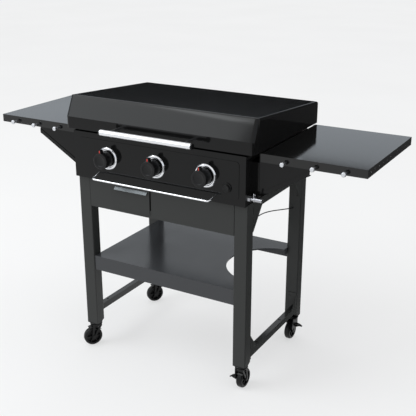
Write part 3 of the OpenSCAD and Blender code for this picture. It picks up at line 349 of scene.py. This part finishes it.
def rolled_steel():
    """Bare rolled plate, seasoned with oil: dark, streaked along the rolling, half glossy."""
    mat, tree, where, out = new_finish("oiled_rolled_steel")
    # Rolling streaks 3 mm wide and 100 mm long, run along X, and stains of about 70 mm
    streak = add(tree, "ShaderNodeMapping", {"Vector": where, "Scale": (3 / 100, 1.0, 1.0)})
    lines = noise(tree, streak.outputs["Vector"], cell_mm=3, detail=4.0)
    cloud = noise(tree, where, cell_mm=70, detail=5.0)
    stain = spread(tree, cloud, 0.0, 1.0, start=0.35, end=0.65)
    coat(tree, out, {"Base Color": blend(tree, stain, linear(0x3A3633), linear(0x5A5552)), "Metallic": 1.0,
                     "Roughness": spread(tree, lines, 0.28, 0.5),
                     "Normal": relief(tree, lines, strength=0.1, distance=0.0002)})
    return mat


def galvanised_steel():
    """Zinc coated sheet: pale grey metal with soft spangles."""
    mat, tree, where, out = new_finish("zinc_coated_steel")
    # Spangles of about 9 mm
    spangle = add(tree, "ShaderNodeTexVoronoi", {"Vector": where, "Scale": per_mm(9)})
    shade = add(tree, "ShaderNodeSeparateColor", {"Color": spangle.outputs["Color"]})
    rough = spread(tree, shade.outputs["Green"], 0.3, 0.42, start=0.0, end=1.0)
    coat(tree, out, {"Base Color": blend(tree, shade.outputs["Red"], linear(0x9A9CA0), linear(0xB9BBBF)),
                     "Metallic": 1.0, "Roughness": rough})
    return mat


def machined(name, code, rough):
    """Turned or plated metal with fine tool marks."""
    mat, tree, where, out = new_finish(name)
    # Marks about 3.2 mm apart, drawn coarse enough to show
    wave = {"Vector": where, "Scale": per_mm(3.2) / WAVE_BANDS, "Distortion": 0.4}
    marks = add(tree, "ShaderNodeTexWave", wave).outputs["Fac"]
    coat(tree, out, {"Base Color": linear(code), "Metallic": 1.0,
                     "Roughness": spread(tree, marks, *rough, start=0.0, end=1.0),
                     "Normal": relief(tree, marks, strength=0.05, distance=0.0001)})
    return mat


def moulded_plastic(name, code, rough, cell_mm):
    """Moulded plastic with a fine grain: half matt, a little paler where the grain stands up."""
    mat, tree, where, out = new_finish(name)
    grain = noise(tree, where, cell_mm=cell_mm, detail=2.0)
    colour = linear(code)
    coat(tree, out, {"Base Color": blend(tree, grain, toned(colour, 0.8), toned(colour, 1.25)),
                     "Roughness": spread(tree, grain, *rough),
                     "Normal": relief(tree, grain, strength=0.15, distance=0.0002),
                     "IOR": 1.46, "Specular IOR Level": 0.3})
    return mat


def glazed_ceramic():
    """Glazed alumina of the spark electrodes: cream white with a wet gloss."""
    mat, tree, where, out = new_finish("glazed_alumina")
    cloud = noise(tree, where, cell_mm=5, detail=2.0)
    tone = blend(tree, cloud, linear(0xE9E3D6), linear(0xF2EEE4))
    coat(tree, out, {"Base Color": tone, "Roughness": 0.18, "IOR": 1.55})
    return mat


def printed_mark(code):
    """Pad-printed enamel paint on a knob's pointer: flat and slightly uneven."""
    mat, tree, where, out = new_finish("pad_printed_paint")
    colour = linear(code)
    cloud = noise(tree, where, cell_mm=1.5, detail=2.0)
    tone = blend(tree, cloud, toned(colour, 0.85), colour)
    coat(tree, out, {"Base Color": tone, "Roughness": 0.45})
    return mat


# Sizes and colours that a user may change

class GriddleFinishes(bpy.types.PropertyGroup):
    """Colours of the painted and enamelled parts."""

    enamel: bpy.props.FloatVectorProperty(
        name="Enamel", description="Colour of the lid, panel and shelves", subtype="COLOR", size=4,
        min=0, max=1, default=linear(0x0C0C0C))
    cart: bpy.props.FloatVectorProperty(
        name="Cart", description="Colour of the powder-coated cart", subtype="COLOR", size=4,
        min=0, max=1, default=linear(0x2E2F2E))
    shelf: bpy.props.FloatVectorProperty(
        name="Lower shelf", description="Colour of the powder-coated lower shelf", subtype="COLOR", size=4,
        min=0, max=1, default=linear(0x3C3D3F))


class GriddleFittings(bpy.types.PropertyGroup):
    """Sizes of the small fittings."""

    mark_width: bpy.props.FloatProperty(
        name="Pointer mark width", description="Width of the painted mark on a knob", unit="LENGTH",
        min=0.001, max=0.006, default=0.0032)
    mark_length: bpy.props.FloatProperty(
        name="Pointer mark length", description="Length of the painted mark on a knob", unit="LENGTH",
        min=0.004, max=0.012, default=0.0095)


class GriddleStage(bpy.types.PropertyGroup):
    """Floor and light."""

    floor_size: bpy.props.FloatProperty(
        name="Floor size", description="Side of the square floor", unit="LENGTH",
        min=10, max=200, default=120)
    sky: bpy.props.FloatProperty(
        name="Dome", description="Brightness of the light dome", min=0, max=4, default=1.0)
    key: bpy.props.FloatProperty(
        name="Key lamp", description="Power of the lower soft lamp", unit="POWER",
        min=0, max=1000, default=36)
    top: bpy.props.FloatProperty(
        name="Top lamp", description="Power of the upper soft lamp", unit="POWER",
        min=0, max=1000, default=60)


# Operators, each after the functions that only it uses

class GRIDDLE_OT_finishes(bpy.types.Operator):
    """Give every carried-over part its finish"""

    bl_idname = "griddle.finishes"
    bl_label = "Finishes"

    def execute(self, context):
        tones = context.scene.griddle_finishes
        enamel, cart, shelf = list(tones.enamel), list(tones.cart), list(tones.shelf)
        crease_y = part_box("lid_shell")[0][1] + LID_SLOPE_DEPTH
        FINISH.update({
            "black_enamel": porcelain_enamel("porcelain_enamel", enamel, sheen=0.2),
            "shelf_enamel": porcelain_enamel("shelf_porcelain_enamel", enamel, sheen=0.42),
            "lid_enamel": porcelain_enamel("lid_porcelain_enamel", enamel, sheen=0.2, crease_y=crease_y),
            "cart_paint": powder_coat("cart_powder_coat", cart, rough=(0.3, 0.38)),
            "bar_paint": powder_coat("bar_powder_coat", cart, rough=(0.14, 0.18)),
            "shelf_paint": powder_coat("shelf_powder_coat", shelf, rough=(0.16, 0.22)),
            "wire_paint": powder_coat("black_dipped_wire", linear(0x161616), rough=(0.35, 0.45)),
            "plate_steel": rolled_steel(),
            "plain_steel": galvanised_steel(),
            "inlet_steel": machined("plated_steel", 0xA9AAAE, rough=(0.18, 0.3)),
            "hook_zinc": machined("bright_zinc_plate", 0xD4D6DA, rough=(0.34, 0.44)),
            "grip_steel": machined("satin_stainless_steel", 0x55585A, rough=(0.3, 0.4)),
            "chrome": chrome_plate(),
            "ceramic": glazed_ceramic(),
            "brass": machined("turned_brass", 0xC9A25A, rough=(0.2, 0.34)),
            "knob_plastic": moulded_plastic("moulded_black_nylon", 0x0D0D0E, rough=(0.28, 0.38), cell_mm=0.9),
            "caster_black": moulded_plastic("glass_filled_nylon", 0x0B0B0B, rough=(0.24, 0.34), cell_mm=1.1),
            "wheel_plastic": moulded_plastic("moulded_polyolefin", 0x070708, rough=(0.36, 0.46), cell_mm=1.4),
            "pointer_paint": printed_mark(0xD8372A),
        })
        for node, name in SLOTS.items():
            show(node, FINISH[OWN_FINISH.get(node, name)])
        return {"FINISHED"}


class GRIDDLE_OT_pointer_marks(bpy.types.Operator):
    """Paint the mark on each knob's pointer"""

    bl_idname = "griddle.pointer_marks"
    bl_label = "Pointer marks"

    def execute(self, context):
        sizes = context.scene.griddle_fittings
        half = sizes.mark_width / 2
        for side in ("left", "middle", "right"):
            low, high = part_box("knob_" + side)
            x = (low[0] + high[0]) / 2
            front = low[1] + MARK_BEHIND_FRONT
            top = high[2] - MARK_BELOW_TOP
            form = bmesh.new()
            slab(form, (x - half, front - MARK_PROUD, top - sizes.mark_length),
                 (x + half, front + MARK_DEEP, top))
            bmesh.ops.bevel(form, geom=form.edges[:], offset=MARK_EDGE, segments=2, affect="EDGES")
            mesh_piece("pointer_mark_" + side, form, FINISH["pointer_paint"], "knob_" + side)
        return {"FINISHED"}


def notch_arc(edge_x, radius):
    """Points of the round bite out of the shelf's +X side, from the front to the rear."""
    reach = math.sqrt(radius ** 2 - (edge_x - NOTCH_MIDDLE[0]) ** 2)
    start = math.atan2(-reach, edge_x - NOTCH_MIDDLE[0])
    end = -2 * math.pi - start
    angles = [start + (end - start) * i / NOTCH_STEPS for i in range(NOTCH_STEPS + 1)]
    return [(NOTCH_MIDDLE[0] + radius * math.cos(a), NOTCH_MIDDLE[1] + radius * math.sin(a)) for a in angles]


def shelf_top(form, low, high, bite):
    """Adds the shelf's flat sheet with its notch."""
    outline = [(low[0], low[1]), (high[0], low[1]), *bite, (high[0], high[1]), (low[0], high[1])]
    flat = form.faces.new([form.verts.new((x, y, high[2])) for x, y in outline])
    down = bmesh.ops.extrude_face_region(form, geom=[flat])["geom"]
    moved = [item for item in down if isinstance(item, bmesh.types.BMVert)]
    bmesh.ops.translate(form, vec=(0, 0, -SHELF_SHEET), verts=moved)


def shelf_lips(form, low, high, bite):
    """Adds the folded edges: deep at the front and the rear, shallower at the sides."""
    (left, front, bottom), (right, rear, top) = low, high
    sheet, under, side = SHELF_SHEET, top - SHELF_SHEET, top - SHELF_SIDE_LIP
    slab(form, (left, front, bottom), (right, front + sheet, under))
    slab(form, (left, front + sheet, bottom), (right, front + SHELF_FRONT_FOLD, bottom + sheet))
    slab(form, (left, rear - sheet, bottom), (right, rear, under))
    slab(form, (left, front + sheet, side), (left + sheet, rear - sheet, under))
    # The right lip is in two lengths, before and behind the notch
    slab(form, (right - sheet, front + sheet, side), (right, bite[0][1], under))
    slab(form, (right - sheet, bite[-1][1], side), (right, rear - sheet, under))


def notch_edge(form, edge_x, top):
    """Adds the folded edge round the notch."""
    rings = []
    for radius in (NOTCH_RADIUS, NOTCH_RADIUS + SHELF_SHEET):
        arc = notch_arc(edge_x, radius)
        heights = (top - SHELF_SHEET, top - NOTCH_FOLD)
        rings.append([[form.verts.new((x, y, z)) for x, y in arc] for z in heights])
    (a, b), (c, d) = rings
    for i in range(NOTCH_STEPS):
        for p, q in ((a, b), (b, d), (d, c), (c, a)):
            form.faces.new((p[i], p[i + 1], q[i + 1], q[i]))
    for i in (0, NOTCH_STEPS):
        form.faces.new((a[i], b[i], d[i], c[i]))


class GRIDDLE_OT_lower_shelf(bpy.types.Operator):
    """Show the lower shelf as a flat folded sheet"""

    bl_idname = "griddle.lower_shelf"
    bl_label = "Lower shelf"

    def execute(self, context):
        low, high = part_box("lower_shelf")
        bite = notch_arc(high[0], NOTCH_RADIUS)
        form = bmesh.new()
        shelf_top(form, low, high, bite)
        shelf_lips(form, low, high, bite)
        notch_edge(form, high[0], high[2])
        piece = mesh_piece("lower_shelf_sheet", form, FINISH["shelf_paint"], "stand")
        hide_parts("lower_shelf")
        return {"FINISHED"}


# In the functions of a fork, x runs from the swivel to the hub, y along the axle and z up from the floor;
# trail is the hub's distance from the swivel, and radius the wheel's, which is also the hub's height

def fork_head(form, tip, place):
    """Adds the head, turned in one with the stem: crown, ball race, groove and cap."""
    crown, shoulder, groove, race, cap, stem = 0.016, 0.021, 0.022, 0.025, 0.0245, 0.0055
    crown_depth, shoulder_depth, edge = 0.0095, 0.005, 0.001
    turned(form, [
        (0, FORK_UNDER - crown_depth), (crown, FORK_UNDER - crown_depth),
        (shoulder, FORK_UNDER - shoulder_depth), (groove, FORK_UNDER),
        (race, FORK_UNDER + 0.002), (race, FORK_UNDER + 0.0036),
        (groove, FORK_UNDER + 0.0042), (groove, FORK_UNDER + 0.0056), (cap, FORK_UNDER + 0.006),
        (cap, FORK_TOP - edge), (cap - edge, FORK_TOP), (stem, FORK_TOP), (stem, tip - edge),
        (stem - edge, tip), (0, tip)], place)


def brake_arm(trail, radius):
    """Outline of the full plate on the side that carries the brake pedal."""
    half, foot, drop = 0.021, 0.0105, 0.003
    head = FORK_UNDER + FORK_LAP
    return [(-half, head), (-half, radius + 0.008), (trail - foot, radius - drop),
            (trail + foot, radius - drop), (trail + 0.018, radius + 0.014), (half, head)]


def open_arm(trail, radius):
    """Outlines of an open arm's rear rib and front rib, which meet at the hub."""
    head, foot = FORK_UNDER + FORK_LAP, 0.0085
    rear_knee, front_knee = FORK_UNDER - 0.006, FORK_UNDER - 0.005
    rear = [(-0.019, head), (-0.0195, rear_knee), (trail - foot, radius), (trail - 0.0012, radius + 0.002),
            (-0.009, rear_knee), (-0.007, head)]
    front = [(0.008, head), (0.0075, front_knee), (trail + 0.0005, radius + 0.003), (trail + foot, radius),
             (0.0195, front_knee), (0.019, head)]
    return rear, front


def hub_boss(form, side, spin):
    """Adds the boss at an arm's foot, with the bolt's head on its outside."""
    boss, bolt = 0.009, 0.0065
    depths = (FORK_INSIDE - 0.0003, FORK_OUTSIDE + 0.0004, FORK_OUTSIDE + 0.002)
    inner, outer, head = (-side * depth for depth in depths)
    turned(form, [(0, inner), (boss, inner), (boss, outer), (bolt, outer), (bolt, head), (0, head)], spin)


def fork_cover(form, trail, radius, place):
    """Adds the crown's rear wall, and the curved cover between the arms."""
    wall_foot = FORK_UNDER - 0.011
    wall = [(-0.018, FORK_UNDER), (-0.0185, wall_foot), (-0.0085, wall_foot), (-0.007, FORK_UNDER)]
    cheek(form, wall, -FORK_INSIDE, FORK_INSIDE, place)
    arc = [math.radians(COVER_START + COVER_PITCH * i) for i in range(COVER_STEPS + 1)]
    rims = ((radius + COVER_INSIDE, arc), (radius + COVER_OUTSIDE, arc[::-1]))
    cover = [(trail + rim * math.cos(a), radius + rim * math.sin(a)) for rim, turns in rims for a in turns]
    cheek(form, cover, -FORK_INSIDE, FORK_INSIDE, place)


def brake_ears(form, pivot, place):
    """Adds the ears of the pedal's pin, each in two halves, above and below its seat."""
    # The ears' outlines run outwards from just inside the arm's plate, so x and y change places
    turn = place @ Matrix(((0, 1, 0, 0), (1, 0, 0, 0), (0, 0, 1, 0), (0, 0, 0, 1)))
    y = FORK_OUTSIDE - 0.0005
    pin, reach, shoulder = y + 0.0065, y + 0.0105, y + 0.0095
    half, shoulder_half, parting = 0.004, 0.003, 0.00001
    angles = [math.radians(a) for a in range(0, 181, PIN_SEAT_STEP)]
    for near, far in EAR_SPANS:
        for up in (-1, 1):
            seat = [(pin - PIN_SEAT * math.cos(a), pivot + up * (parting + PIN_SEAT * math.sin(a)))
                    for a in angles]
            nose = [(y, seat[0][1]), *seat, (reach, seat[0][1]), (shoulder, pivot + up * shoulder_half),
                    (pin, pivot + up * half), (y, pivot + up * half)]
            cheek(form, nose, near, far, turn)


class GRIDDLE_OT_caster_forks(bpy.types.Operator):
    """Give the casters forks with open ribbed arms"""

    bl_idname = "griddle.caster_forks"
    bl_label = "Caster forks"

    def execute(self, context):
        for corner in ("front_left", "front_right", "rear_left", "rear_right"):
            node = "caster_yoke_" + corner
            swivel = Vector(JOINTS["caster_swivel_" + corner]["pos_m"])
            hub = Vector(JOINTS["wheel_spin_" + corner]["pos_m"])
            braked = corner.endswith("right")
            trail = (hub - swivel).to_2d().length
            radius = hub.z
            along = (hub - swivel).to_2d() / trail
            place = Matrix(((along.x, -along.y, 0, swivel.x), (along.y, along.x, 0, swivel.y),
                            (0, 0, 1, 0), (0, 0, 0, 1)))
            spin = place @ Matrix.Translation((trail, 0, radius)) @ Matrix.Rotation(math.radians(90), 4, "X")
            form = bmesh.new()
            fork_head(form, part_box(node)[1][2], place)
            for side in (-1, 1):
                near, far = sorted((side * FORK_INSIDE, side * FORK_OUTSIDE))
                outlines = [brake_arm(trail, radius)] if braked and side > 0 else open_arm(trail, radius)
                for outline in outlines:
                    cheek(form, outline, near, far, place)
                hub_boss(form, side, spin)
            turned(form, [(0, -FORK_INSIDE), (AXLE_RADIUS, -FORK_INSIDE), (AXLE_RADIUS, FORK_INSIDE),
                          (0, FORK_INSIDE)], spin)
            fork_cover(form, trail, radius, place)
            if braked:
                brake_ears(form, JOINTS["brake_press_" + corner.split("_")[0]]["pos_m"][2], place)
            piece = mesh_piece("caster_fork_" + corner, form, FINISH["caster_black"], "caster_" + corner)
            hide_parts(node)
        return {"FINISHED"}


class GRIDDLE_OT_drawer_grip(bpy.types.Operator):
    """Put the bright strip on the drawer's grip"""

    bl_idname = "griddle.drawer_grip"
    bl_label = "Drawer grip"

    def execute(self, context):
        low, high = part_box("drawer_front")
        root_y, root_z = low[1] + GRIP_ROOT_BEHIND, high[2] - GRIP_ROOT_BELOW
        edge_y, edge_z = low[1], high[2] - GRIP_EDGE_BELOW
        run = Vector((0.0, edge_y - root_y, edge_z - root_z)).normalized()
        out = Vector((0.0, run.z, -run.y))
        if out.z < 0:
            out = -out
        form = bmesh.new()
        ends = []
        for x in (low[0] + STRIP_LEFT, high[0] - STRIP_RIGHT):
            root = Vector((x, root_y, root_z)) + run * STRIP_ROOT
            edge = Vector((x, edge_y, edge_z)) - run * STRIP_EDGE
            ends.append([form.verts.new(p) for p in (root, edge, edge + out * STRIP, root + out * STRIP)])
        prism(form, *ends)
        mesh_piece("drawer_grip_strip", form, FINISH["grip_steel"], "drawer")
        return {"FINISHED"}


def set_floor(size):
    """Pale, even floor that partly glows."""
    mat, tree, where, out = new_finish("painted_board_floor")
    cloud = noise(tree, where, cell_mm=1250, detail=2.0)
    tone = blend(tree, cloud, linear(0xEFEFEF), linear(0xF4F4F4))
    paint = add(tree, "ShaderNodeBsdfDiffuse", {"Color": tone}).outputs["BSDF"]
    glow = add(tree, "ShaderNodeEmission", {"Color": tone}).outputs["Emission"]
    both = add(tree, "ShaderNodeMixShader", {0: FLOOR_GLOW, 1: paint, 2: glow})
    tree.links.new(both.outputs["Shader"], out.inputs["Surface"])
    form = bmesh.new()
    bmesh.ops.create_grid(form, x_segments=2, y_segments=2, size=size / 2)
    floor = mesh_object("floor", form, [mat])


def set_dome(scene, strength):
    """Light dome, white with a band of pale blue between the horizon and the top."""
    world = bpy.data.worlds.new("studio_dome")
    scene.world = world
    world.use_nodes = True
    tree = world.node_tree
    tree.nodes.clear()
    way = add(tree, "ShaderNodeTexCoord").outputs["Generated"]
    height = add(tree, "ShaderNodeSeparateXYZ", {"Vector": way}).outputs["Z"]
    sky = linear(HORIZON_TONE)
    for low, high, tone in DOME_BANDS:
        sky = blend(tree, spread(tree, height, 0.0, 1.0, low, high), sky, linear(tone))
    glow = add(tree, "ShaderNodeBackground", {"Color": sky, "Strength": strength})
    add(tree, "ShaderNodeOutputWorld", {"Surface": glow.outputs["Background"]})


def set_lamp(scene, name, power):
    """Soft lamp, aimed at the station."""
    place, wide, tall = SOFTBOXES[name]
    lamp = bpy.data.lights.new(name, "AREA")
    lamp.shape = "RECTANGLE"
    lamp.size = wide
    lamp.size_y = tall
    lamp.energy = power
    lamp.color = LAMP_COLOUR
    light = bpy.data.objects.new(name, lamp)
    light.location = place
    light.rotation_euler = (LAMP_AIM - Vector(place)).to_track_quat("-Z", "Y").to_euler()
    scene.collection.objects.link(light)


def reflection_card(name, code):
    """Dull dark card for the flags: its tone is a painted dark reflection in the glossy parts."""
    mat, tree, where, out = new_finish(name)
    cloth = add(tree, "ShaderNodeBsdfDiffuse", {"Color": linear(code)})
    tree.links.new(cloth.outputs["BSDF"], out.inputs["Surface"])
    return mat


def set_flags():
    """Dark flags and a curved wall, seen only in reflections: something dark for glossy parts to mirror."""
    form = bmesh.new()
    for (x0, y0), (x1, y1), low, top in FLAGS:
        corners = [(x0, y0, low), (x1, y1, low), (x1, y1, top), (x0, y0, top)]
        form.faces.new([form.verts.new(corner) for corner in corners])
    wall = []
    for bearing, top in WALL_BENDS:
        a = math.radians(bearing)
        x, y = WALL_DISTANCE * math.cos(a), WALL_DISTANCE * math.sin(a)
        wall.append((form.verts.new((x, y, GROUND)), form.verts.new((x, y, top))))
    for (a, b), (c, d) in zip(wall, wall[1:]):
        form.faces.new((a, c, d, b)).material_index = 1
    # The flags' grey and the wall's black are painted dark reflections in the glossy parts; the grey is no
    # wear and neither is cloth
    flags = mesh_object("flags", form, [reflection_card("grey_reflection_card", 0x505050), reflection_card("black_reflection_card", 0x1E1F20)])
    for ray in ("camera", "diffuse", "shadow", "transmission", "volume_scatter"):
        setattr(flags, "visible_" + ray, False)


def set_camera(scene):
    """Camera at the photograph's viewpoint."""
    lens = bpy.data.cameras.new("camera")
    lens.lens = CAMERA_LENS
    lens.sensor_width = CAMERA_SENSOR
    camera = bpy.data.objects.new("camera", lens)
    camera.location = CAMERA_PLACE
    camera.rotation_euler = (math.radians(CAMERA_TILT), 0.0, math.radians(CAMERA_TURN))
    scene.collection.objects.link(camera)
    scene.camera = camera


class GRIDDLE_OT_stage(bpy.types.Operator):
    """Set up the floor, the light and the camera"""

    bl_idname = "griddle.stage"
    bl_label = "Stage"

    def execute(self, context):
        scene = context.scene
        sizes = scene.griddle_stage
        scene.view_settings.view_transform = "Standard"
        set_floor(sizes.floor_size)
        set_dome(scene, sizes.sky)
        set_lamp(scene, "key_softbox", sizes.key)
        set_lamp(scene, "top_softbox", sizes.top)
        set_flags()
        set_camera(scene)
        return {"FINISHED"}


class GRIDDLE_PT_panel(bpy.types.Panel):
    """Sidebar panel of the griddle station"""

    bl_idname = "GRIDDLE_PT_panel"
    bl_label = "Griddle station"
    bl_space_type = "VIEW_3D"
    bl_region_type = "UI"
    bl_category = "Griddle"

    def draw(self, context):
        for name in GROUPS:
            group = getattr(context.scene, name)
            box = self.layout.box()
            for prop in group.__annotations__:
                box.prop(group, prop)
        for operator in OPERATORS:
            self.layout.operator(operator.bl_idname)


GROUPS = {"griddle_finishes": GriddleFinishes, "griddle_fittings": GriddleFittings,
          "griddle_stage": GriddleStage}
OPERATORS = (GRIDDLE_OT_finishes, GRIDDLE_OT_pointer_marks, GRIDDLE_OT_lower_shelf, GRIDDLE_OT_caster_forks,
             GRIDDLE_OT_drawer_grip, GRIDDLE_OT_stage)


def register():
    for name, group in GROUPS.items():
        bpy.utils.register_class(group)
        setattr(bpy.types.Scene, name, bpy.props.PointerProperty(type=group))
    for cls in (*OPERATORS, GRIDDLE_PT_panel):
        bpy.utils.register_class(cls)


def unregister():
    for cls in (GRIDDLE_PT_panel, *reversed(OPERATORS)):
        bpy.utils.unregister_class(cls)
    for name, group in GROUPS.items():
        delattr(bpy.types.Scene, name)
        bpy.utils.unregister_class(group)


def main():
    register()
    bpy.ops.griddle.finishes()
    bpy.ops.griddle.pointer_marks()
    bpy.ops.griddle.lower_shelf()
    bpy.ops.griddle.caster_forks()
    bpy.ops.griddle.drawer_grip()
    bpy.ops.griddle.stage()


if __name__ == "__main__":
    main()
